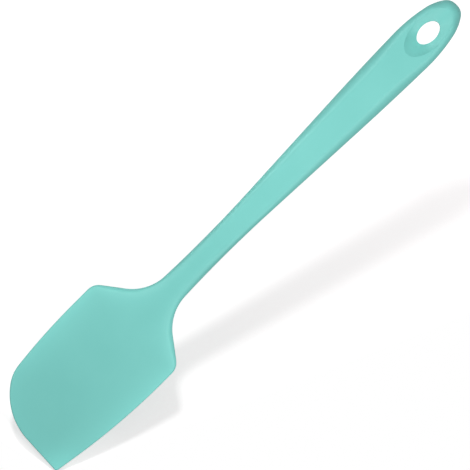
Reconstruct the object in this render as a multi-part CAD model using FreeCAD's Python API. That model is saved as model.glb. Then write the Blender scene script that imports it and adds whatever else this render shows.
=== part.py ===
import FreeCAD, Part
import math
import os

# A one-piece silicone scraper spatula moulded around a stamped steel core.
# All sizes are in millimetres. While it is built, x runs from the tip edge to the handle end,
# z = 0 is the mould's parting plane, and the front face looks along +z.

# Whole body
overall_length = 280.0
handle_thickness = 11.0
handle_edge_radius = 4.3

# Blade, seen from the front
blade_width = 54.3
blade_length = 72.5
square_corner_offset = 21.3
square_corner_radius = 1.2
tip_edge_setback = 1.65
round_corner_offset = 13.55
round_corner_radius = 31.0
knee_position = 17.7
knee_offset = 24.45
knee_radius = 14.4
long_side_bend = 39.5
long_side_radius = 285.0
short_side_bend = 34.1
short_side_radius = 340.0
shoulder_angle = 53.0
shoulder_radius = 6.8

# Blade, seen from the side
tip_thickness = 1.8
root_thickness = 6.0
tip_rim_level = 0.69
root_rim_level = 0.33
neck_rim_level = 0.8
neck_rise_lead = 9.5
neck_rise_length = 71.0

# Neck and handle, seen from the front: guide corners that the curves are tangent to
neck_width = 13.84
neck_radius = 22.0
waist_width = 11.18
waist_distance = 38.0
waist_radius = 660.0
palm_width = 21.7
palm_from_end = 42.8
palm_radius = 570.0
crown_width = 21.12
crown_from_end = 16.2
crown_radius = 37.3
end_width = 9.76
end_radius = 6.7

# Hanging hole with a dished recess in both faces
hole_from_end = 18.2
hole_length = 12.5
hole_width = 7.9
dish_length = 27.0
dish_width = 14.6
dish_depth = 2.4
dish_roundness = 1.6

# Steel core
core_thickness = 2.0
core_cover = 3.0
tongue_reach = 22.5
tongue_width = 21.0
tongue_corner_radius = 6.0
eye_liner = 1.4
key_hole_diameter = 3.0
key_hole_count = 5
key_hole_lead = 62.2
key_hole_tail = 21.8
tongue_key_count = 3
tongue_key_pitch = 6.5
tongue_key_inset = 8.0

blade_half = blade_width / 2
half_thickness = handle_thickness / 2
neck_position = blade_length + (blade_half - neck_width / 2) / math.tan(math.radians(shoulder_angle))
hole_position = overall_length - hole_from_end
neck_rise_start = blade_length - neck_rise_lead
tongue_front = blade_length - tongue_reach

# Construction: where the square-walled blade meets the rounded handle, and the relief's sections
split_position = blade_length - 6.5
relief_overrun = 8.0
relief_headroom = 0.15
blade_reach = 5.0
neck_reach = 0.35
form_share = 0.7
shoulder_lead = 6.0
shoulder_tail = 5.2
shortest_straight = 1.0


def vector(x, y, z=0.0):
    return FreeCAD.Vector(x, y, z)


def corner_runs(points, radii):
    """Tangent length of every corner arc. Where less than a short straight would be left between
    two arcs, or they would overlap, the larger one is fitted so that they meet."""
    count = len(points)
    wanted = []
    for i in range(count):
        before = (points[i - 1] - points[i]).normalize()
        after = (points[(i + 1) % count] - points[i]).normalize()
        wanted.append(radii[i] / math.tan(before.getAngle(after) / 2))
    fitted = [[] for i in range(count)]
    for i in range(count):
        j = (i + 1) % count
        side = (points[j] - points[i]).Length
        if wanted[i] + wanted[j] < side - shortest_straight:
            continue
        small, large = sorted((i, j), key=lambda k: radii[k])
        kept = min(wanted[small], 0.8 * side)
        if radii[small] == radii[large]:
            kept = side / 2
        fitted[small].append(kept)
        fitted[large].append(side - kept)
    return [min(fits) if fits else run for fits, run in zip(fitted, wanted)]


def rounded_face(corners):
    """Flat face from (x, y, radius) corners, with a tangent arc at every corner."""
    points = [vector(x, y) for x, y, radius in corners]
    runs = corner_runs(points, [radius for x, y, radius in corners])
    count = len(points)
    edges = []
    for i, corner in enumerate(points):
        before = (points[i - 1] - corner).normalize()
        after = (points[(i + 1) % count] - corner).normalize()
        leave = corner + after * runs[i]
        if runs[i] > 0:
            half = before.getAngle(after) / 2
            radius = runs[i] * math.tan(half)
            inward = (before + after).normalize()
            middle = corner + inward * (radius / math.sin(half) - radius)
            edges.append(Part.Arc(corner + before * runs[i], middle, leave).toShape())
        j = (i + 1) % count
        meet = points[j] + (corner - points[j]).normalize() * runs[j]
        if (meet - leave).Length > 1e-6:
            edges.append(Part.LineSegment(leave, meet).toShape())
    return Part.Face(Part.Wire(edges))


def plate(face, thickness):
    """Face thickened equally to both sides of the parting plane."""
    solid = face.extrude(vector(0, 0, thickness))
    solid.translate(vector(0, 0, -thickness / 2))
    return solid


def mirrored(corners):
    return [(x, -y, radius) for x, y, radius in reversed(corners)]


def handle_corners(inset):
    """Right-hand guide corners from the neck to the handle end, moved inward by inset."""
    lean = math.tan(math.radians(shoulder_angle) / 2)
    waist_position = neck_position + waist_distance
    return [
        (neck_position - inset * lean, inset - neck_width / 2, neck_radius + inset),
        (waist_position, inset - waist_width / 2, waist_radius + inset),
        (overall_length - palm_from_end, inset - palm_width / 2, palm_radius - inset),
        (overall_length - crown_from_end - inset / 2, inset - crown_width / 2, crown_radius - inset),
        (overall_length - inset, (inset - end_radius) * end_width / 2 / end_radius, end_radius - inset),
    ]


def blade_face(back_edge):
    """Blade outline in front of back_edge, with one square and one round tip corner."""
    return rounded_face([
        (0.0, -square_corner_offset, square_corner_radius),
        (short_side_bend, -blade_half, short_side_radius),
        (back_edge, -blade_half, 0.0),
        (back_edge, blade_half, 0.0),
        (long_side_bend, blade_half, long_side_radius),
        (knee_position, knee_offset, knee_radius),
        (tip_edge_setback, round_corner_offset, round_corner_radius),
    ])


def handle_face(front_edge):
    """Shoulder, neck and handle outline behind front_edge."""
    right = [(blade_length, -blade_half, shoulder_radius)] + handle_corners(0.0)
    ends = [(front_edge, blade_half, 0.0), (front_edge, -blade_half, 0.0)]
    return rounded_face(ends + right + mirrored(right))


def blank_solid(outline):
    """Full-thickness blank: rounded handle edges, square-walled blade."""
    handle = plate(outline, handle_thickness)
    rim = []
    for edge in handle.Edges:
        middle = edge.CenterOfMass
        on_face = abs(abs(middle.z) - half_thickness) < 1e-6
        if on_face and middle.x > split_position + 1e-3:
            rim.append(edge)
    handle = handle.makeFillet(handle_edge_radius, rim)
    return plate(blade_face(split_position), handle_thickness).fuse(handle)


def eased(value):
    """Smooth step from 0 to 1 with level ends."""
    value = min(1.0, max(0.0, value))
    return value * value * (3.0 - 2.0 * value)


def spaced(start, stop, count):
    """Evenly spaced values from start, with stop left out."""
    return [start + (stop - start) * i / count for i in range(count)]


def relief_section(x, half_width):
    """Wire across the body at x, whose lower edge is the crowned front face there."""
    rise = eased((x - neck_rise_start) / neck_rise_length)
    form = eased((x - neck_rise_start) / (form_share * neck_rise_length))
    wedge = (tip_thickness + (root_thickness - tip_thickness) * x / blade_length) / 2
    crest = wedge * (1 - rise) + (half_thickness + relief_headroom) * rise
    rim = tip_rim_level + (root_rim_level - tip_rim_level) * x / blade_length
    rim = rim * (1 - form) + neck_rim_level * form
    reach = half_width + blade_reach * (1 - form) + neck_reach * form
    power = 2.0 + 2.0 * form
    points = []
    for step in range(-7, 8):
        across = math.sin(math.pi / 14 * step)
        drop = max(0.0, 1.0 - abs(across) ** power) ** (1.0 - 0.5 * form)
        points.append(vector(x, reach * across, rim + (crest - rim) * drop))
    crown = Part.BSplineCurve()
    crown.interpolate(points)
    roof = [points[-1], vector(x, reach, handle_thickness), vector(x, -reach, handle_thickness), points[0]]
    walls = [Part.LineSegment(a, b).toShape() for a, b in zip(roof, roof[1:])]
    return Part.Wire([crown.toShape()] + walls)


def face_relief(outline):
    """Solid that is taken off the front of the blank to leave the crowned blade and the neck."""
    front = split_position - shoulder_lead
    middle = neck_position + shoulder_tail
    rear = neck_rise_start + neck_rise_length + 2.0
    stations = spaced(-relief_overrun, front, 6) + spaced(front, middle, 11) + spaced(middle, rear, 7)
    sections = []
    for x in stations + [rear]:
        half_width = blade_half
        if x > split_position:
            half_width = outline.slice(vector(1, 0, 0), x)[0].BoundBox.YMax
        sections.append(relief_section(x, half_width))
    return Part.makeLoft(sections, True, False)


def oval_prism(long_half, short_half, height):
    """Upright oval prism on the hanging hole's axis."""
    oval = Part.Ellipse(vector(hole_position, 0, -height / 2), long_half, short_half).toShape()
    return Part.Face(Part.Wire([oval])).extrude(vector(0, 0, height))


def dish_cutter():
    """Ellipsoid that scoops the recess around the hole out of the front face."""
    lift = dish_roundness * dish_depth
    depth_half = lift + dish_depth
    widen = 1.0 / math.sqrt(1.0 - (lift / depth_half) ** 2)
    stretch = FreeCAD.Matrix()
    stretch.scale(dish_length / 2 * widen, dish_width / 2 * widen, depth_half)
    scoop = Part.makeSphere(1.0).transformGeometry(stretch)
    scoop.translate(vector(hole_position, 0, half_thickness + lift))
    return scoop


def steel_core():
    """Stamped strip with a tongue in the blade, an eye at the hole and keying holes."""
    strip = handle_corners(core_cover)
    neck_x, neck_y, neck_r = strip[0]
    tongue_half = tongue_width / 2
    tongue_back = neck_x - (tongue_half + neck_y) / math.tan(math.radians(shoulder_angle))
    right = [(tongue_front, -tongue_half, tongue_corner_radius)]
    right += [(tongue_back, -tongue_half, tongue_corner_radius)] + strip
    core = plate(rounded_face(right + mirrored(right)), core_thickness)
    holes = [oval_prism(hole_length / 2 + eye_liner, hole_width / 2 + eye_liner, handle_thickness)]
    first = neck_position + key_hole_lead
    pitch = (hole_position - key_hole_tail - first) / (key_hole_count - 1)
    spots = [(first + pitch * i, 0.0) for i in range(key_hole_count)]
    for i in range(tongue_key_count):
        across = tongue_key_pitch * (i - (tongue_key_count - 1) / 2)
        spots.append((tongue_front + tongue_key_inset, across))
    for x, y in spots:
        foot = vector(x, y, -handle_thickness / 2)
        holes.append(Part.makeCylinder(key_hole_diameter / 2, handle_thickness, foot))
    return core.cut(holes)


def silicone_overmould(core):
    """Silicone body moulded over the core, with the hanging hole and its two dishes."""
    outline = handle_face(split_position)
    relief = face_relief(outline)
    dish = dish_cutter()
    flip = vector(0, 0, 1)
    centre = vector(0, 0, 0)
    hole = oval_prism(hole_length / 2, hole_width / 2, 3 * handle_thickness)
    cutters = [relief, relief.mirror(centre, flip), dish, dish.mirror(centre, flip), hole]
    body = blank_solid(outline)
    for cutter in cutters:
        body = body.cut(cutter)
    return body.removeSplitter().cut(core)


def main():
    """Build both pieces, lay the back on z = 0 about the middle, and write them."""
    os.makedirs("parts", exist_ok=True)
    core = steel_core()
    body = silicone_overmould(core)
    for name, shape in (("silicone_overmould", body), ("steel_core", core)):
        shape = shape.copy()
        shape.translate(vector(-overall_length / 2, 0, half_thickness))
        shape.exportStep(os.path.join("parts", name + ".step"))


main()
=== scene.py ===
"""Silicone scraper spatula: moulded body, hidden core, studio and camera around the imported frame."""

import logging
import math
from dataclasses import dataclass, field
from enum import Enum

import bpy
import numpy as np
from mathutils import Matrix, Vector

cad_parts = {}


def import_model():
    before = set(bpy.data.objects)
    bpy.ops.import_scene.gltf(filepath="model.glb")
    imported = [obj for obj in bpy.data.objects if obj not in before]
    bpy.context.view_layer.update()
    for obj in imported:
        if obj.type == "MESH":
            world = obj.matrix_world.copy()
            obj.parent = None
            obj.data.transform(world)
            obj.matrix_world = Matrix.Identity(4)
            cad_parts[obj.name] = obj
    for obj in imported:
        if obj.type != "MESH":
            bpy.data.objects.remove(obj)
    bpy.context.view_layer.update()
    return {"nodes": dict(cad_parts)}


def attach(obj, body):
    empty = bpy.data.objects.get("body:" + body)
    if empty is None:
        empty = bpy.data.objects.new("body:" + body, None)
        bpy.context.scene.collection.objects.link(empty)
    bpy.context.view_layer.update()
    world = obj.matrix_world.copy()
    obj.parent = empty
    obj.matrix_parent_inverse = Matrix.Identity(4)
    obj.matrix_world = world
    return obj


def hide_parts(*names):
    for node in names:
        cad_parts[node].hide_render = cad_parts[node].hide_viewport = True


LOG = logging.getLogger("spatula")

Colour = tuple[float, float, float]
Place = tuple[float, float, float]
Pair = tuple[float, float]

# Places of the colour sockets on a mix node
MIX_FIRST = 6
MIX_SECOND = 7
MIX_RESULT = 2


class Slot(Enum):
    """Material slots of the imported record."""

    SILICONE = "teal_silicone"
    STEEL = "core_steel"


class Node(Enum):
    """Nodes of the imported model."""

    BODY = "silicone_overmould"
    CORE = "steel_core"


class Pick(Enum):
    """What is picked in edit mode."""

    VERTICES = "VERT"
    EDGES = "EDGE"
    FACES = "FACE"


def eased(value: np.ndarray) -> np.ndarray:
    """Smooth step from 0 to 1 with level ends, for any values."""
    value = np.clip(value, 0.0, 1.0)
    return value * value * (3.0 - 2.0 * value)


def between(first: np.ndarray | float, second: np.ndarray | float, share: np.ndarray) -> np.ndarray:
    """Values at the given share of the way from the first to the second."""
    return first + (second - first) * share


def start_edit(obj: bpy.types.Object, pick: Pick = Pick.VERTICES, all_of_it: bool = True) -> None:
    """Makes obj the only selected object and enters edit mode.

    Args:
        obj: The mesh object to edit.
        pick: What is picked from now on.
        all_of_it: Whether all of the mesh is selected, or nothing.
    """
    bpy.ops.object.select_all(action="DESELECT")
    obj.select_set(True)
    bpy.context.view_layer.objects.active = obj
    bpy.ops.object.mode_set(mode="EDIT")
    bpy.ops.mesh.select_mode(type=pick.value)
    bpy.ops.mesh.select_all(action="SELECT" if all_of_it else "DESELECT")


def end_edit() -> None:
    """Leaves edit mode."""
    bpy.ops.object.mode_set(mode="OBJECT")


def apply_modifier(obj: bpy.types.Object, modifier: bpy.types.Modifier) -> None:
    """Applies one of the object's modifiers to its mesh."""
    bpy.context.view_layer.objects.active = obj
    bpy.ops.object.modifier_apply(modifier=modifier.name)


def vertex_places(mesh: bpy.types.Mesh) -> np.ndarray:
    """Reads the vertices of a mesh.

    Args:
        mesh: The mesh to read.

    Returns:
        An array with one row of x, y, z for each vertex.
    """
    places = np.zeros(len(mesh.vertices) * 3)
    mesh.vertices.foreach_get("co", places)
    return places.reshape(-1, 3)


def move_vertices(mesh: bpy.types.Mesh, places: np.ndarray) -> None:
    """Puts the vertices of a mesh in new places, one row of x, y, z for each."""
    mesh.vertices.foreach_set("co", places.ravel())
    mesh.update()


def cover(obj: bpy.types.Object, material: bpy.types.Material) -> None:
    """Makes a material the only one on an object."""
    obj.data.materials.clear()
    obj.data.materials.append(material)


@dataclass(frozen=True)
class Stretch:
    """Stretch of the body along x, over which a form changes."""

    start: float
    length: float

    def share(self, x: np.ndarray) -> np.ndarray:
        """How far along the stretch each x is, from 0 before it to 1 behind it."""
        return np.clip((x - self.start) / self.length, 0.0, 1.0)

    def smooth_share(self, x: np.ndarray) -> np.ndarray:
        """The same share with level ends."""
        return eased(self.share(x))


@dataclass(frozen=True)
class GuideCorner:
    """Corner of the guide polygon that the outline follows, rounded by a tangent arc."""

    x: float
    y: float
    radius: float

    def place(self) -> Vector:
        """The corner's place in the outline's plane."""
        return Vector((self.x, self.y, 0.0))

    def moved(self, distance: float) -> "GuideCorner":
        """The same corner further along the axis."""
        return GuideCorner(self.x + distance, self.y, self.radius)

    def mirrored(self) -> "GuideCorner":
        """The same corner on the other side of the axis."""
        return GuideCorner(self.x, -self.y, self.radius)


@dataclass
class Outline:
    """Closed outline of tangent arcs and straights, traced from vertex to vertex."""

    corners: list[GuideCorner]
    spacing: float = 0.0015
    arc_step: float = math.radians(8.0)
    shortest_straight: float = 0.001
    shortest_segment: float = 0.000015
    sharp_clearance: float = 0.005
    weld: float = 0.00003

    def turns(self) -> list[float]:
        """Signed turn at every corner, positive to the left.

        Returns:
            One angle in radians for each corner.
        """
        angles = []
        count = len(self.corners)
        for i in range(count):
            here = self.corners[i].place()
            before = here - self.corners[i - 1].place()
            after = self.corners[(i + 1) % count].place() - here
            angles.append(math.atan2(before.cross(after).z, before.dot(after)))
        return angles

    def runs(self) -> list[float]:
        """Tangent length of every corner arc.

        Where less than a short straight would be left between two arcs, the larger one is fitted so
        that they meet.

        Returns:
            One length for each corner.
        """
        turns = self.turns()
        wanted = [c.radius * math.tan(abs(t) / 2) for c, t in zip(self.corners, turns)]
        fitted: list[list[float]] = [[] for _ in self.corners]
        for i, corner in enumerate(self.corners):
            j = (i + 1) % len(self.corners)
            side = (self.corners[j].place() - corner.place()).length
            if wanted[i] + wanted[j] < side - self.shortest_straight:
                continue
            small, large = sorted((i, j), key=lambda k: self.corners[k].radius)
            same = self.corners[small].radius == self.corners[large].radius
            kept = side / 2 if same else wanted[small]
            fitted[small].append(kept)
            fitted[large].append(side - kept)
        return [min(fits) if fits else run for fits, run in zip(fitted, wanted)]

    def segments(self, index: int, straight: float) -> list[float]:
        """Divides the straight behind a corner.

        Beside a corner that is too sharp for the rim loops, one long segment is left undivided.

        Args:
            index: The corner's place in the list.
            straight: The straight's length.

        Returns:
            The lengths of the segments, in order.
        """
        ends = (self.corners[index], self.corners[(index + 1) % len(self.corners)])
        lead, tail = (self.sharp_clearance if c.radius < self.sharp_clearance else 0.0 for c in ends)
        rest = straight - lead - tail
        count = max(1, math.ceil(rest / self.spacing))
        sizes = (lead, *[rest / count] * count, tail) if rest > 0.0 else (straight,)
        return [size for size in sizes if size > self.shortest_segment]

    def trace(self, name: str) -> bpy.types.Object:
        """Traces the outline by extruding and spinning one vertex.

        Args:
            name: The new object's name.

        Returns:
            A mesh object that holds one flat face with the outline as its edge.
        """
        turns, runs = self.turns(), self.runs()
        count = len(self.corners)
        bpy.ops.object.select_all(action="DESELECT")
        bpy.ops.mesh.primitive_plane_add(size=self.spacing)
        obj = bpy.context.active_object
        obj.name = name
        start_edit(obj)
        bpy.ops.mesh.merge(type="CENTER")
        here = self.corners[0].place()
        heading = (here - self.corners[-1].place()).normalized()
        bpy.ops.transform.translate(value=here - heading * runs[0])
        for i, corner in enumerate(self.corners):
            here = corner.place()
            following = self.corners[(i + 1) % count].place()
            into = (here - self.corners[i - 1].place()).normalized()
            out = (following - here).normalized()
            radius = runs[i] / math.tan(abs(turns[i]) / 2)
            left = Vector((-into.y, into.x, 0.0)) * math.copysign(radius, turns[i])
            length = radius * abs(turns[i])
            steps = max(math.ceil(length / self.spacing), math.ceil(abs(turns[i]) / self.arc_step))
            bpy.ops.mesh.spin(
                steps=steps,
                angle=-turns[i],
                center=here - into * runs[i] + left,
                axis=(0.0, 0.0, 1.0),
            )
            straight = (following - here).length - runs[i] - runs[(i + 1) % count]
            for size in self.segments(i, straight):
                bpy.ops.mesh.extrude_region_move(TRANSFORM_OT_translate={"value": out * size})
        bpy.ops.mesh.select_all(action="SELECT")
        bpy.ops.mesh.remove_doubles(threshold=self.weld)
        bpy.ops.mesh.edge_face_add()
        end_edit()
        return obj


class ShaderSheet:
    """Node tree of a material or of the world, with short calls to add and link nodes."""

    def __init__(self, owner: bpy.types.ID) -> None:
        """Starts with an empty tree.

        Args:
            owner: The material or world that the tree belongs to.
        """
        owner.use_nodes = True
        self.owner = owner
        self.tree = owner.node_tree
        self.tree.nodes.clear()

    def add(self, kind: str, settings: dict | None = None, **values: object) -> bpy.types.Node:
        """Adds a node.

        Args:
            kind: The node's type name.
            settings: Properties of the node itself.
            **values: Input values or output sockets, by input name with _ for a space.

        Returns:
            The new node.
        """
        node = self.tree.nodes.new(kind)
        for key, value in (settings or {}).items():
            setattr(node, key, value)
        for key, value in values.items():
            self.feed(node.inputs[key.replace("_", " ")], value)
        return node

    def feed(self, socket: bpy.types.NodeSocket, value: object) -> None:
        """Links a socket to the input, or sets the input's value.

        Args:
            socket: The input to feed.
            value: An output socket, or a plain value.
        """
        if isinstance(value, bpy.types.NodeSocket):
            self.tree.links.new(value, socket)
        else:
            socket.default_value = value

    def object_place(self) -> bpy.types.NodeSocket:
        """Adds the coordinates of the object itself."""
        return self.add("ShaderNodeTexCoord").outputs["Object"]

    def noise(self, place: bpy.types.NodeSocket, scale: float, detail: float) -> bpy.types.NodeSocket:
        """Adds a noise that follows the given coordinates, and gives its value."""
        return self.add("ShaderNodeTexNoise", Vector=place, Scale=scale, Detail=detail).outputs["Fac"]

    def ramp(self, source: bpy.types.NodeSocket, stops: dict[float, Colour]) -> bpy.types.NodeSocket:
        """Adds a colour ramp.

        Args:
            source: The value that runs along the ramp.
            stops: Linear colours by their place on the ramp.

        Returns:
            The ramp's colour output.
        """
        node = self.add("ShaderNodeValToRGB", Fac=source)
        elements = node.color_ramp.elements
        while len(elements) < len(stops):
            elements.new(0.5)
        for element, (place, colour) in zip(elements, sorted(stops.items())):
            element.position = place
            element.color = (*colour, 1.0)
        return node.outputs["Color"]

    def mixed(
        self, share: bpy.types.NodeSocket, first: bpy.types.NodeSocket, second: Colour
    ) -> bpy.types.NodeSocket:
        """Adds a mix of two colours.

        Args:
            share: The second colour's share.
            first: The first colour's output.
            second: The second colour, linear.

        Returns:
            The mix's colour output.
        """
        node = self.add("ShaderNodeMix", {"data_type": "RGBA"}, Factor=share)
        self.feed(node.inputs[MIX_FIRST], first)
        self.feed(node.inputs[MIX_SECOND], (*second, 1.0))
        return node.outputs[MIX_RESULT]

    def spread(self, source: bpy.types.NodeSocket, limits: Pair) -> bpy.types.NodeSocket:
        """Adds a map from 0 and 1 to the two limits, and gives its result."""
        low, high = limits
        return self.add("ShaderNodeMapRange", Value=source, To_Min=low, To_Max=high).outputs["Result"]

    def bump(self, height: bpy.types.NodeSocket, depth: float, strength: float) -> bpy.types.NodeSocket:
        """Adds a bump of the given depth in metres, and gives its normal."""
        node = self.add("ShaderNodeBump", Height=height, Distance=depth, Strength=strength)
        return node.outputs["Normal"]

    def grey(self, level: float) -> bpy.types.NodeSocket:
        """Adds a matt grey and gives its shader output."""
        return self.add("ShaderNodeBsdfDiffuse", Color=(level, level, level, 1.0)).outputs[0]

    def finish(
        self, shader: bpy.types.NodeSocket, output: str = "ShaderNodeOutputMaterial"
    ) -> bpy.types.ID:
        """Closes the tree with its surface shader, and gives the finished material or world."""
        self.add(output, Surface=shader)
        return self.owner


@dataclass(frozen=True)
class SiliconeFinish:
    """Satin moulded silicone: even pigment, faint flow clouds and a fine blasted grain, with a painted
    glow: a lighter colour along the edges that stands in for light coming through them.
    """

    name: str = Slot.SILICONE.value
    deep: Colour = (0.183, 0.592, 0.541)
    pale: Colour = (0.199, 0.619, 0.567)
    # Colour of the painted glow, standing in for light through the edges; it is not a pigment
    painted_glow: Colour = (0.253, 0.800, 0.735)
    glow_attribute: str = "painted_edge_glow"
    cloud_scale: float = 38.0
    cloud_detail: float = 3.0
    cloud_span: Pair = (0.3, 0.7)
    grain_scale: float = 2600.0
    grain_detail: float = 2.0
    grain_depth: float = 0.00002
    grain_strength: float = 0.35
    roughness: Pair = (0.40, 0.46)
    refraction: float = 1.41

    def material(self) -> bpy.types.Material:
        """Builds the material.

        Returns:
            The finished material.
        """
        sheet = ShaderSheet(bpy.data.materials.new(self.name))
        place = sheet.object_place()
        cloud = sheet.noise(place, self.cloud_scale, self.cloud_detail)
        pigment = sheet.ramp(cloud, dict(zip(self.cloud_span, (self.deep, self.pale))))
        # Painted glow: the pigment is lightened towards the glow colour by the share stored on each
        # vertex of the body
        glow = sheet.add("ShaderNodeAttribute", {"attribute_name": self.glow_attribute})
        grain = sheet.noise(place, self.grain_scale, self.grain_detail)
        shader = sheet.add(
            "ShaderNodeBsdfPrincipled",
            Base_Color=sheet.mixed(glow.outputs["Fac"], pigment, self.painted_glow),
            Roughness=sheet.spread(grain, self.roughness),
            IOR=self.refraction,
            Normal=sheet.bump(grain, self.grain_depth, self.grain_strength),
        )
        return sheet.finish(shader.outputs["BSDF"])


@dataclass(frozen=True)
class BrushedSteelFinish:
    """Stamped stainless strip with fine rolling marks along its length."""

    name: str = Slot.STEEL.value
    dark: Colour = (0.46, 0.47, 0.48)
    light: Colour = (0.60, 0.61, 0.62)
    stretch: Place = (12.0, 900.0, 900.0)
    mark_scale: float = 1.0
    mark_detail: float = 4.0
    mark_span: Pair = (0.35, 0.65)
    mark_depth: float = 0.00002
    mark_strength: float = 0.3
    roughness: Pair = (0.28, 0.42)

    def material(self) -> bpy.types.Material:
        """Builds the material.

        Returns:
            The finished material.
        """
        sheet = ShaderSheet(bpy.data.materials.new(self.name))
        along = sheet.add("ShaderNodeMapping", Vector=sheet.object_place(), Scale=self.stretch)
        marks = sheet.noise(along.outputs["Vector"], self.mark_scale, self.mark_detail)
        shader = sheet.add(
            "ShaderNodeBsdfPrincipled",
            Base_Color=sheet.ramp(marks, dict(zip(self.mark_span, (self.dark, self.light)))),
            Roughness=sheet.spread(marks, self.roughness),
            Metallic=1.0,
            Normal=sheet.bump(marks, self.mark_depth, self.mark_strength),
        )
        return sheet.finish(shader.outputs["BSDF"])


@dataclass
class MouldedBody:
    """Silicone body in one moulding: blade, shoulders, neck, handle and hanging hole.

    While it is modelled, x runs from the tip edge, z = 0 is the parting plane, and only the front half
    exists until it is mirrored.
    """

    # Outline, with the neck's corners from neck_place and the handle end's from length
    length: float = 0.280
    blade_width: float = 0.0543
    blade_length: float = 0.0725
    square_corner_place: float = -0.0213
    square_corner_radius: float = 0.0012
    short_side_bend: float = 0.0370
    short_side_radius: float = 0.340
    long_side_bend: float = 0.0411
    long_side_radius: float = 0.327
    round_tip: tuple[GuideCorner, ...] = (
        GuideCorner(0.01762, 0.02459, 0.0180),
        GuideCorner(0.00166, 0.01330, 0.031),
    )
    shoulder_radius: float = 0.0068
    neck_place: float = 0.08781
    neck: tuple[GuideCorner, ...] = (
        GuideCorner(0.0, -0.00692, 0.022),
        GuideCorner(0.038, -0.00559, 0.660),
    )
    handle_end: tuple[GuideCorner, ...] = (
        GuideCorner(-0.0510, -0.01054, 1.380),
        GuideCorner(-0.0210, -0.01109, 0.0812),
        GuideCorner(-0.00653, -0.00819, 0.0287),
        GuideCorner(0.0, -0.00364, 0.0058),
    )

    # Faces, from the crowned wedge of the blade to the flat front of the handle
    thickness: float = 0.011
    tip_thickness: float = 0.0018
    root_thickness: float = 0.0060
    tip_rim: float = 0.00069
    root_rim: float = 0.00033
    neck_rim: float = 0.0008
    rise: Stretch = Stretch(0.063, 0.071)
    form: Stretch = Stretch(0.063, 0.0497)
    flat: Stretch = Stretch(0.100, 0.060)
    blade_reach: float = 0.005
    neck_reach: float = 0.00035
    blade_crown: Pair = (2.0, 1.0)
    neck_crown: Pair = (4.0, 0.5)
    headroom: float = 0.00015

    # Rounding of the rim
    blade_edge: float = 0.00045
    neck_edge: float = 0.0010
    neck_edge_stretch: Stretch = Stretch(0.066, 0.012)
    shoulder_edge: float = 0.00105
    shoulder_edge_place: float = 0.080
    shoulder_edge_reach: float = 0.0065
    handle_edge: float = 0.0043
    handle_edge_stretch: Stretch = Stretch(0.118, 0.110)
    hole_edge: float = 0.0026
    hole_edge_stretch: Stretch = Stretch(0.232, 0.026)
    end_edge_share: float = 0.95
    end_edge_stretch: Stretch = Stretch(0.2695, 0.0065)
    edge_power: float = 1.6

    # Hanging hole and the dish around it
    hole_place: float = 0.2618
    hole_length: float = 0.0128
    hole_width: float = 0.0081
    hole_sides: int = 144
    dish_length: float = 0.0280
    dish_width: float = 0.0147
    dish_near_depth: float = 0.0039
    dish_far_depth: float = 0.0019
    dish_side_depth: float = 0.0006
    dish_end_power: float = 1.1
    dish_side_power: float = 2.5
    dish_overrun: float = 1.2
    dish_rings: int = 13
    crease_share: float = 0.01
    crease_height: float = 0.00002

    # Painted glow: a lighter colour along the thin edge and at the square corner, standing in for light
    # coming through them
    glow_reach: float = 0.006
    glow_neck_share: float = 0.5
    glow_neck_stretch: Stretch = Stretch(0.060, 0.030)
    glow_fade: float = 0.055
    glow_rise: float = 0.045
    glow_at_tip: float = 0.3
    glow_share: float = 0.63
    corner_glow: float = 0.75
    corner_glow_reach: Pair = (0.011, 0.0075)

    # Mesh
    lattice: float = 0.002
    rim_loops: tuple[float, ...] = (
        0.00002, 0.00008, 0.00018, 0.00032, 0.0005, 0.00085, 0.0012,
        0.00175, 0.0024, 0.0031, 0.0038, 0.0044, 0.0048,
    )
    corner_merge: float = 0.0002
    weld: float = 0.00001
    side_lead: float = 0.008
    rows_at_once: int = 1000
    smooth_angle: float = math.radians(22.0)
    rim: np.ndarray = field(init=False, repr=False)
    side: np.ndarray = field(init=False, repr=False)

    finish: SiliconeFinish = field(default_factory=SiliconeFinish)

    def outline(self) -> Outline:
        """The body's outline seen from the front.

        Returns:
            The outline, starting at the square tip corner.
        """
        half = self.blade_width / 2
        handle = [
            GuideCorner(self.blade_length, -half, self.shoulder_radius),
            *[corner.moved(self.neck_place) for corner in self.neck],
            *[corner.moved(self.length) for corner in self.handle_end],
        ]
        corners = [
            GuideCorner(0.0, self.square_corner_place, self.square_corner_radius),
            GuideCorner(self.short_side_bend, -half, self.short_side_radius),
            *handle,
            *[corner.mirrored() for corner in reversed(handle)],
            GuideCorner(self.long_side_bend, half, self.long_side_radius),
            *self.round_tip,
        ]
        return Outline(corners)

    def sheet(self) -> bpy.types.Object:
        """Flat front face with rim loops that follow the outline and a square lattice inside them.

        Returns:
            The sheet, in the parting plane.
        """
        obj = self.outline().trace("silicone_body")
        mesh = obj.data
        places = vertex_places(mesh)[:, :2]
        self.rim = np.array([[places[i] for i in edge.vertices] for edge in mesh.edges])
        side = places[(places[:, 0] > self.blade_length - self.side_lead) & (places[:, 1] < 0.0)]
        self.side = side[np.argsort(side[:, 0])]
        start_edit(obj, Pick.FACES)
        done = 0.0
        for loop in self.rim_loops:
            bpy.ops.mesh.inset(thickness=loop - done, depth=0.0, use_even_offset=True)
            done = loop
            if loop == self.square_corner_radius:
                bpy.ops.mesh.remove_doubles(threshold=self.corner_merge)
        bpy.ops.mesh.hide(unselected=True)
        half = self.blade_width / 2
        for i in range(1, int(self.length / self.lattice)):
            self.cut((i * self.lattice, 0.0, 0.0), (1.0, 0.0, 0.0))
        for i in range(int(half / self.lattice)):
            for sign in (-1.0, 1.0):
                self.cut((0.0, sign * (i + 0.5) * self.lattice, 0.0), (0.0, 1.0, 0.0))
        bpy.ops.mesh.reveal(select=False)
        end_edit()
        return obj

    def cut(self, place: Place, normal: Place) -> None:
        """Cuts the visible faces along the plane through a place, square to a normal."""
        bpy.ops.mesh.select_all(action="SELECT")
        bpy.ops.mesh.bisect(plane_co=place, plane_no=normal, threshold=self.weld)

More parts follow.
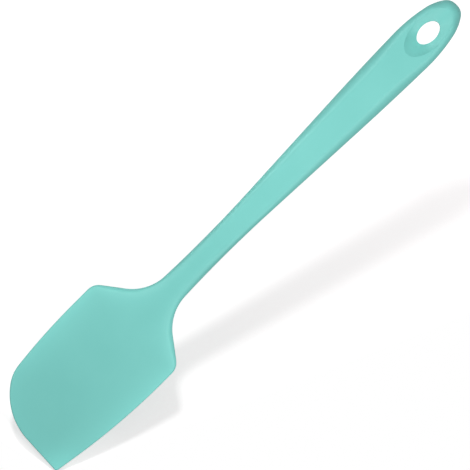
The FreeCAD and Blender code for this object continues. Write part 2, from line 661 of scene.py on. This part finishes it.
    def rim_distance(self, places: np.ndarray) -> np.ndarray:
        """Distance of points from the outline, seen from the front.

        Args:
            places: Rows of x and y.

        Returns:
            One distance for each row.
        """
        start = self.rim[:, 0]
        span = self.rim[:, 1] - start
        size = (span**2).sum(axis=1)
        found = []
        for part in np.array_split(places, max(1, len(places) // self.rows_at_once)):
            offset = part[:, None, :] - start[None, :, :]
            share = np.clip((offset * span).sum(axis=2) / size, 0.0, 1.0)
            gap = offset - share[:, :, None] * span
            found.append(np.sqrt((gap**2).sum(axis=2).min(axis=1)))
        return np.concatenate(found)

    def height(self, places: np.ndarray) -> np.ndarray:
        """Height of the front face above the parting plane.

        Args:
            places: Rows of x and y.

        Returns:
            One height for each row.
        """
        x, y = places[:, 0], np.abs(places[:, 1])
        half = self.thickness / 2
        form = self.form.smooth_share(x)
        along = x / self.blade_length
        wedge = between(self.tip_thickness, self.root_thickness, along) / 2
        crest = between(wedge, half + self.headroom, self.rise.smooth_share(x))
        rim = between(between(self.tip_rim, self.root_rim, along), self.neck_rim, form)
        width = np.interp(x, self.side[:, 0], -self.side[:, 1], left=self.blade_width / 2)
        reach = width + between(self.blade_reach, self.neck_reach, form)
        inner, outer = (between(*pair, form) for pair in zip(self.blade_crown, self.neck_crown))
        drop = np.clip(1.0 - np.clip(y / reach, 0.0, 1.0) ** inner, 0.0, 1.0) ** outer
        crown = between(rim, crest, drop)
        crown = between(crown, half + self.headroom, self.flat.smooth_share(x))
        surface = np.minimum(crown, half)
        edge = self.edge_radius(x)
        inside = np.clip(1.0 - self.rim_distance(places) / edge, 0.0, 1.0)
        return surface - edge * (1.0 - (1.0 - inside**self.edge_power) ** (1.0 / self.edge_power))

    def edge_radius(self, x: np.ndarray) -> np.ndarray:
        """Rounding of the rim: small on the blade, more at the shoulders, growing along the handle.

        Beside the hole it is smaller again, and nearly full at the handle end.

        Args:
            x: Distances from the tip edge.

        Returns:
            One radius for each distance.
        """
        blade = between(self.blade_edge, self.neck_edge, self.neck_edge_stretch.smooth_share(x))
        from_shoulder = (x - self.shoulder_edge_place) / self.shoulder_edge_reach
        shoulder = self.shoulder_edge * np.exp(-(from_shoulder**2))
        handle = (self.handle_edge - self.neck_edge) * self.handle_edge_stretch.share(x)
        beside = self.hole_edge_stretch.smooth_share(x)
        past = self.end_edge_share * self.end_edge_stretch.smooth_share(x)
        return blade + shoulder + handle - (self.handle_edge - self.hole_edge) * (beside - past)

    def painted_edge_glow(self, places: np.ndarray) -> np.ndarray:
        """Share of the painted glow, the lighter colour that stands in for light coming through the
        thin edge of the blade and at its square corner.

        Args:
            places: Rows of x and y.

        Returns:
            One share for each row.
        """
        x = places[:, 0]
        blade = between(self.glow_at_tip, self.glow_share, eased(x / self.glow_rise))
        blade = blade * (1.0 - eased((x - self.blade_length) / self.glow_fade))
        narrowing = between(1.0, self.glow_neck_share, self.glow_neck_stretch.smooth_share(x))
        edge = blade * np.exp(-self.rim_distance(places) / (self.glow_reach * narrowing))
        along, across = self.corner_glow_reach
        corner = np.hypot(x / along, (places[:, 1] - self.square_corner_place) / across)
        return np.clip(edge + self.corner_glow * np.exp(-(corner**2)), 0.0, 1.0)

    def cutter(self) -> bpy.types.Object:
        """Solid that opens the hanging hole and scoops the dish around it on both faces.

        Its rings are extruded one above the other and then put in their places: the first two bound the
        hole, the next ones spread to the dish's edge and past it, and the last closes the top.

        Returns:
            The cutter, about the parting plane.
        """
        half = self.thickness / 2
        spread = [0.0, *np.linspace(0.0, self.dish_overrun, self.dish_rings), self.dish_overrun]
        bpy.ops.object.select_all(action="DESELECT")
        bpy.ops.mesh.primitive_circle_add(
            vertices=self.hole_sides, radius=1.0, fill_type="NOTHING", location=(0.0, 0.0, 0.0)
        )
        obj = bpy.context.active_object
        start_edit(obj)
        for _ in spread[1:]:
            bpy.ops.mesh.extrude_region_move(TRANSFORM_OT_translate={"value": (0.0, 0.0, 1.0)})
        bpy.ops.mesh.edge_face_add()
        end_edit()
        places = vertex_places(obj.data)
        ring = np.rint(places[:, 2]).astype(int)
        out = np.array(spread)[ring]
        ends = places[:, 0] ** 2
        end_depth = np.where(places[:, 0] < 0.0, self.dish_near_depth, self.dish_far_depth)
        depth = between(self.dish_side_depth, end_depth, ends)
        power = between(self.dish_side_power, self.dish_end_power, ends)
        places[:, 0] *= between(self.hole_length, self.dish_length, out) / 2
        places[:, 1] *= between(self.hole_width, self.dish_width, out) / 2
        places[:, 0] += self.hole_place
        places[:, 2] = half - depth * (1.0 - out**power)
        places[ring == 0, 2] = 0.0
        places[ring == ring.max(), 2] = self.thickness
        move_vertices(obj.data, places)
        self.mirror(obj)
        return obj

    def crease_dish(self, obj: bpy.types.Object) -> None:
        """Marks the edge of the dish as sharp.

        Args:
            obj: The body, still about the parting plane.
        """
        mesh = obj.data
        places = vertex_places(mesh)
        along = (places[:, 0] - self.hole_place) / (self.dish_length / 2)
        across = places[:, 1] / (self.dish_width / 2)
        on_edge = np.abs(np.hypot(along, across) - 1.0) < self.crease_share
        on_edge &= np.abs(np.abs(places[:, 2]) - self.thickness / 2) < self.crease_height
        start_edit(obj, Pick.EDGES, all_of_it=False)
        end_edit()
        for edge in mesh.edges:
            edge.select = bool(on_edge[edge.vertices[0]] and on_edge[edge.vertices[1]])
        bpy.ops.object.mode_set(mode="EDIT")
        bpy.ops.mesh.mark_sharp()
        end_edit()

    def mirror(self, obj: bpy.types.Object) -> None:
        """Closes a front half with its mirror image below the parting plane.

        Args:
            obj: The half, open at the parting plane.
        """
        modifier = obj.modifiers.new("back_half", "MIRROR")
        modifier.use_axis = (False, False, True)
        modifier.use_mirror_merge = True
        modifier.merge_threshold = self.weld
        apply_modifier(obj, modifier)
        start_edit(obj)
        bpy.ops.mesh.normals_make_consistent(inside=False)
        end_edit()

    def raise_front(self, obj: bpy.types.Object) -> None:
        """Lifts the sheet to the front face and draws its rim down to the parting plane.

        Args:
            obj: The flat sheet.
        """
        places = vertex_places(obj.data)
        places[:, 2] = self.height(places[:, :2])
        move_vertices(obj.data, places)
        start_edit(obj, Pick.EDGES, all_of_it=False)
        bpy.ops.mesh.select_non_manifold(
            extend=False, use_wire=False, use_boundary=True,
            use_multi_face=False, use_non_contiguous=False, use_verts=False,
        )
        bpy.ops.mesh.extrude_region_move(TRANSFORM_OT_translate={"value": (0.0, 0.0, 0.0)})
        bpy.ops.transform.resize(value=(1.0, 1.0, 0.0), center_override=(0.0, 0.0, 0.0))
        end_edit()

    def open_hole(self, obj: bpy.types.Object) -> None:
        """Cuts the hanging hole and its dishes.

        Args:
            obj: The body, closed and about the parting plane.
        """
        cutter = self.cutter()
        modifier = obj.modifiers.new("hanging_hole", "BOOLEAN")
        modifier.operation = "DIFFERENCE"
        modifier.solver = "EXACT"
        modifier.object = cutter
        apply_modifier(obj, modifier)
        bpy.data.objects.remove(cutter)
        self.crease_dish(obj)

    def build(self) -> bpy.types.Object:
        """Models the body and puts it in its place.

        Returns:
            The finished body.
        """
        obj = self.sheet()
        self.raise_front(obj)
        self.mirror(obj)
        self.open_hole(obj)
        # Stores the share of the painted glow on each vertex, for the finish
        attribute = obj.data.attributes.new(self.finish.glow_attribute, "FLOAT", "POINT")
        attribute.data.foreach_set("value", self.painted_edge_glow(vertex_places(obj.data)[:, :2]))
        start_edit(obj)
        bpy.ops.transform.translate(value=(-self.length / 2, 0.0, self.thickness / 2))
        end_edit()
        bpy.ops.object.shade_smooth_by_angle(angle=self.smooth_angle)
        return obj

    def dress(self, obj: bpy.types.Object) -> None:
        """Gives the body its finish and ties it to the frame.

        Args:
            obj: The finished body.
        """
        cover(obj, self.finish.material())
        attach(obj, "root")
        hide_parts(Node.BODY.value)


@dataclass
class SteelCore:
    """Stamped core inside the silicone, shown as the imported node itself."""

    finish: BrushedSteelFinish = field(default_factory=BrushedSteelFinish)

    def dress(self, obj: bpy.types.Object) -> None:
        """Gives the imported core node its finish."""
        cover(obj, self.finish.material())


@dataclass(frozen=True)
class Softbox:
    """Studio lamp with its long side along the object, aimed at the object."""

    name: str
    place: Place
    size: Pair
    power: float
    aim: Place = (0.0, 0.0, 0.0)
    spread: float = math.radians(180.0)
    for_floor: bool = False
    glints: bool = True

    def build(self) -> bpy.types.Object:
        """Makes the lamp.

        Returns:
            The lamp's object.
        """
        lamp = bpy.data.lights.new(self.name, "AREA")
        lamp.shape = "RECTANGLE"
        lamp.size, lamp.size_y = self.size
        lamp.energy = self.power
        lamp.spread = self.spread
        obj = bpy.data.objects.new(self.name, lamp)
        bpy.context.scene.collection.objects.link(obj)
        obj.location = self.place
        obj.visible_camera = False
        obj.visible_glossy = self.glints
        aim = Vector(self.aim) - Vector(self.place)
        obj.rotation_euler = aim.to_track_quat("-Z", "Y").to_euler()
        return obj


@dataclass
class Studio:
    """White floor with a painted glow that grades its shadow, soft lamps and an even surround."""

    surround: float = 0.26
    softboxes: tuple[Softbox, ...] = (
        Softbox("key", (0.87, 1.11, 1.41), (0.26, 0.26), 10.0, for_floor=True),
        Softbox("left", (0.063, 0.182, 0.299), (0.40, 0.18), 0.668, (0.063, 0.0, 0.0)),
        Softbox("right", (0.063, -0.178, 0.302), (0.40, 0.18), 0.672, (0.063, 0.0, 0.0)),
        Softbox(
            "rim",
            (0.012, 0.25, 0.09),
            (0.04, 0.04),
            0.003,
            (0.012, 0.0, 0.0),
            spread=math.radians(35.0),
            glints=False,
        ),
    )
    floor_half: float = 0.8
    floor_thickness: float = 0.001
    floor_height: float = -0.0638
    floor_fall: Pair = (0.435, 0.3675)
    floor_cuts: tuple[tuple[Place, Place], ...] = (
        ((-0.1412, -0.0222, 0.0), (0.972, 0.236, 0.0)),
        ((-0.1412, -0.0235, 0.0), (0.40, 0.917, 0.0)),
        ((0.0, -0.130, 0.0), (0.0, 1.0, 0.0)),
    )
    floor_paint: float = 0.9
    floor_dim: float = 0.5
    # Painted light on the floor: glow level along x, which sets how deep the shadow looks and fades it
    # near the tip and towards the handle end
    painted_floor_glow: tuple[Pair, ...] = (
        (-0.1446, 0.84),
        (-0.1396, 0.58),
        (-0.134, 0.68),
        (-0.122, 0.655),
        (-0.106, 0.605),
        (-0.085, 0.603),
        (-0.062, 0.628),
        (-0.045, 0.620),
        (0.0, 0.648),
        (0.050, 0.673),
        (0.080, 0.695),
    )
    # Tint of the painted floor glow, which keeps the shadow neutral grey instead of teal
    floor_tint: Colour = (1.020, 0.984, 0.988)

    def seen(self, sheet: ShaderSheet) -> bpy.types.NodeSocket:
        """Adds the test for rays that show the background: straight, mirrored or through glass.

        Args:
            sheet: The nodes to add to.

        Returns:
            An output that is 1 for such rays and 0 for the rest.
        """
        paths = sheet.add("ShaderNodeLightPath").outputs
        found = paths["Is Camera Ray"]
        for name in ("Is Glossy Ray", "Is Transmission Ray"):
            either = sheet.add("ShaderNodeMath", {"operation": "MAXIMUM"})
            sheet.feed(either.inputs[0], found)
            sheet.feed(either.inputs[1], paths[name])
            found = either.outputs[0]
        return found

    def front_white(self) -> bpy.types.Material:
        """White of the floor's front, which keeps the shadow; a painted glow, graded and tinted along
        its length, fades the shadow at both ends and keeps it neutral grey.

        Returns:
            The finished material.
        """
        sheet = ShaderSheet(bpy.data.materials.new("floor_white"))
        along = sheet.add("ShaderNodeSeparateXYZ", Vector=sheet.object_place()).outputs["X"]
        first, last = self.painted_floor_glow[0][0], self.painted_floor_glow[-1][0]
        part = sheet.add("ShaderNodeMapRange", Value=along, From_Min=first, From_Max=last)
        tint = np.array(self.floor_tint)
        stops = {(x - first) / (last - first): tuple(level * tint) for x, level in self.painted_floor_glow}
        level = sheet.ramp(part.outputs["Result"], stops)
        # The painted glow that sets the shadow's depth along the floor
        glow = sheet.add("ShaderNodeEmission", Color=level, Strength=1.0)
        bright = sheet.add("ShaderNodeAddShader")
        sheet.feed(bright.inputs[0], sheet.grey(self.floor_paint))
        sheet.feed(bright.inputs[1], glow.outputs[0])
        return self.dimmed(sheet, bright.outputs[0])

    def back_white(self) -> bpy.types.Material:
        """Plain white of the floor's back and edges, the same as the surround's."""
        sheet = ShaderSheet(bpy.data.materials.new("floor_back"))
        return self.dimmed(sheet, sheet.add("ShaderNodeEmission", Strength=1.0).outputs[0])

    def dimmed(self, sheet: ShaderSheet, bright: bpy.types.NodeSocket) -> bpy.types.Material:
        """Closes a floor material with a grey that lights the object less than the floor looks.

        Args:
            sheet: The material's nodes.
            bright: The shader that is seen.

        Returns:
            The finished material.
        """
        mix = sheet.add("ShaderNodeMixShader", Fac=self.seen(sheet))
        sheet.feed(mix.inputs[1], sheet.grey(self.floor_dim))
        sheet.feed(mix.inputs[2], bright)
        return sheet.finish(mix.outputs[0])

    def floor(self) -> bpy.types.Object:
        """Pale sloping board that the tip rests on and the handle is held above.

        It ends close to the tip, so that it hides nothing from the sides.

        Returns:
            The floor's object.
        """
        bpy.ops.object.select_all(action="DESELECT")
        bpy.ops.mesh.primitive_plane_add(size=2 * self.floor_half, location=(0.0, 0.0, 0.0))
        obj = bpy.context.active_object
        obj.name = "floor"
        start_edit(obj)
        for place, normal in self.floor_cuts:
            bpy.ops.mesh.select_all(action="SELECT")
            bpy.ops.mesh.bisect(plane_co=place, plane_no=normal, clear_inner=True)
        end_edit()
        for vertex in obj.data.vertices:
            vertex.co.z = self.floor_height - vertex.co.xy.dot(self.floor_fall)
        obj.data.materials.append(self.front_white())
        obj.data.materials.append(self.back_white())
        modifier = obj.modifiers.new("board", "SOLIDIFY")
        modifier.thickness = self.floor_thickness
        modifier.offset = -1.0
        modifier.material_offset = 1
        modifier.material_offset_rim = 1
        apply_modifier(obj, modifier)
        return obj

    def world(self) -> bpy.types.World:
        """Even surround that is seen as white.

        Returns:
            The world.
        """
        sheet = ShaderSheet(bpy.data.worlds.new("surround"))
        level = sheet.spread(self.seen(sheet), (self.surround, 1.0))
        background = sheet.add("ShaderNodeBackground", Color=(1.0, 1.0, 1.0, 1.0), Strength=level)
        return sheet.finish(background.outputs["Background"], "ShaderNodeOutputWorld")

    def build(self) -> None:
        """Sets up the floor, the lamps and the surround."""
        floor = self.floor()
        bpy.context.scene.world = self.world()
        for softbox in self.softboxes:
            lit = bpy.data.collections.new(softbox.name)
            lit.objects.link(floor)
            state = "INCLUDE" if softbox.for_floor else "EXCLUDE"
            lit.collection_objects[0].light_linking.link_state = state
            softbox.build().light_linking.receiver_collection = lit
        bpy.context.scene.view_settings.view_transform = "Standard"


@dataclass
class PhotoCamera:
    """Long lens straight above the front face, turned so that the handle points to the upper right."""

    centre: Pair = (-0.00591, -0.00285)
    plane: float = 0.0055
    frame_width: float = 0.21465
    lens: float = 600.0
    sensor: float = 36.0
    turn: float = math.radians(-45.032)

    def build(self) -> bpy.types.Object:
        """Makes the camera and sets it as the scene's own.

        Returns:
            The camera's object.
        """
        camera = bpy.data.cameras.new("photo_camera")
        camera.lens = self.lens
        camera.sensor_width = self.sensor
        obj = bpy.data.objects.new("photo_camera", camera)
        bpy.context.scene.collection.objects.link(obj)
        distance = self.frame_width * self.lens / self.sensor
        obj.location = (*self.centre, self.plane + distance)
        obj.rotation_euler = (0.0, 0.0, self.turn)
        bpy.context.scene.camera = obj
        return obj


def main() -> None:
    """Builds the spatula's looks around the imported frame."""
    logging.basicConfig(level=logging.INFO, format="%(name)s: %(message)s")
    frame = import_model()
    body = MouldedBody()
    piece = body.build()
    body.dress(piece)
    LOG.info("%s: %d faces", piece.name, len(piece.data.polygons))
    SteelCore().dress(frame["nodes"][Node.CORE.value])
    LOG.info("%s: dressed", Node.CORE.value)
    Studio().build()
    PhotoCamera().build()


if __name__ == "__main__":
    main()
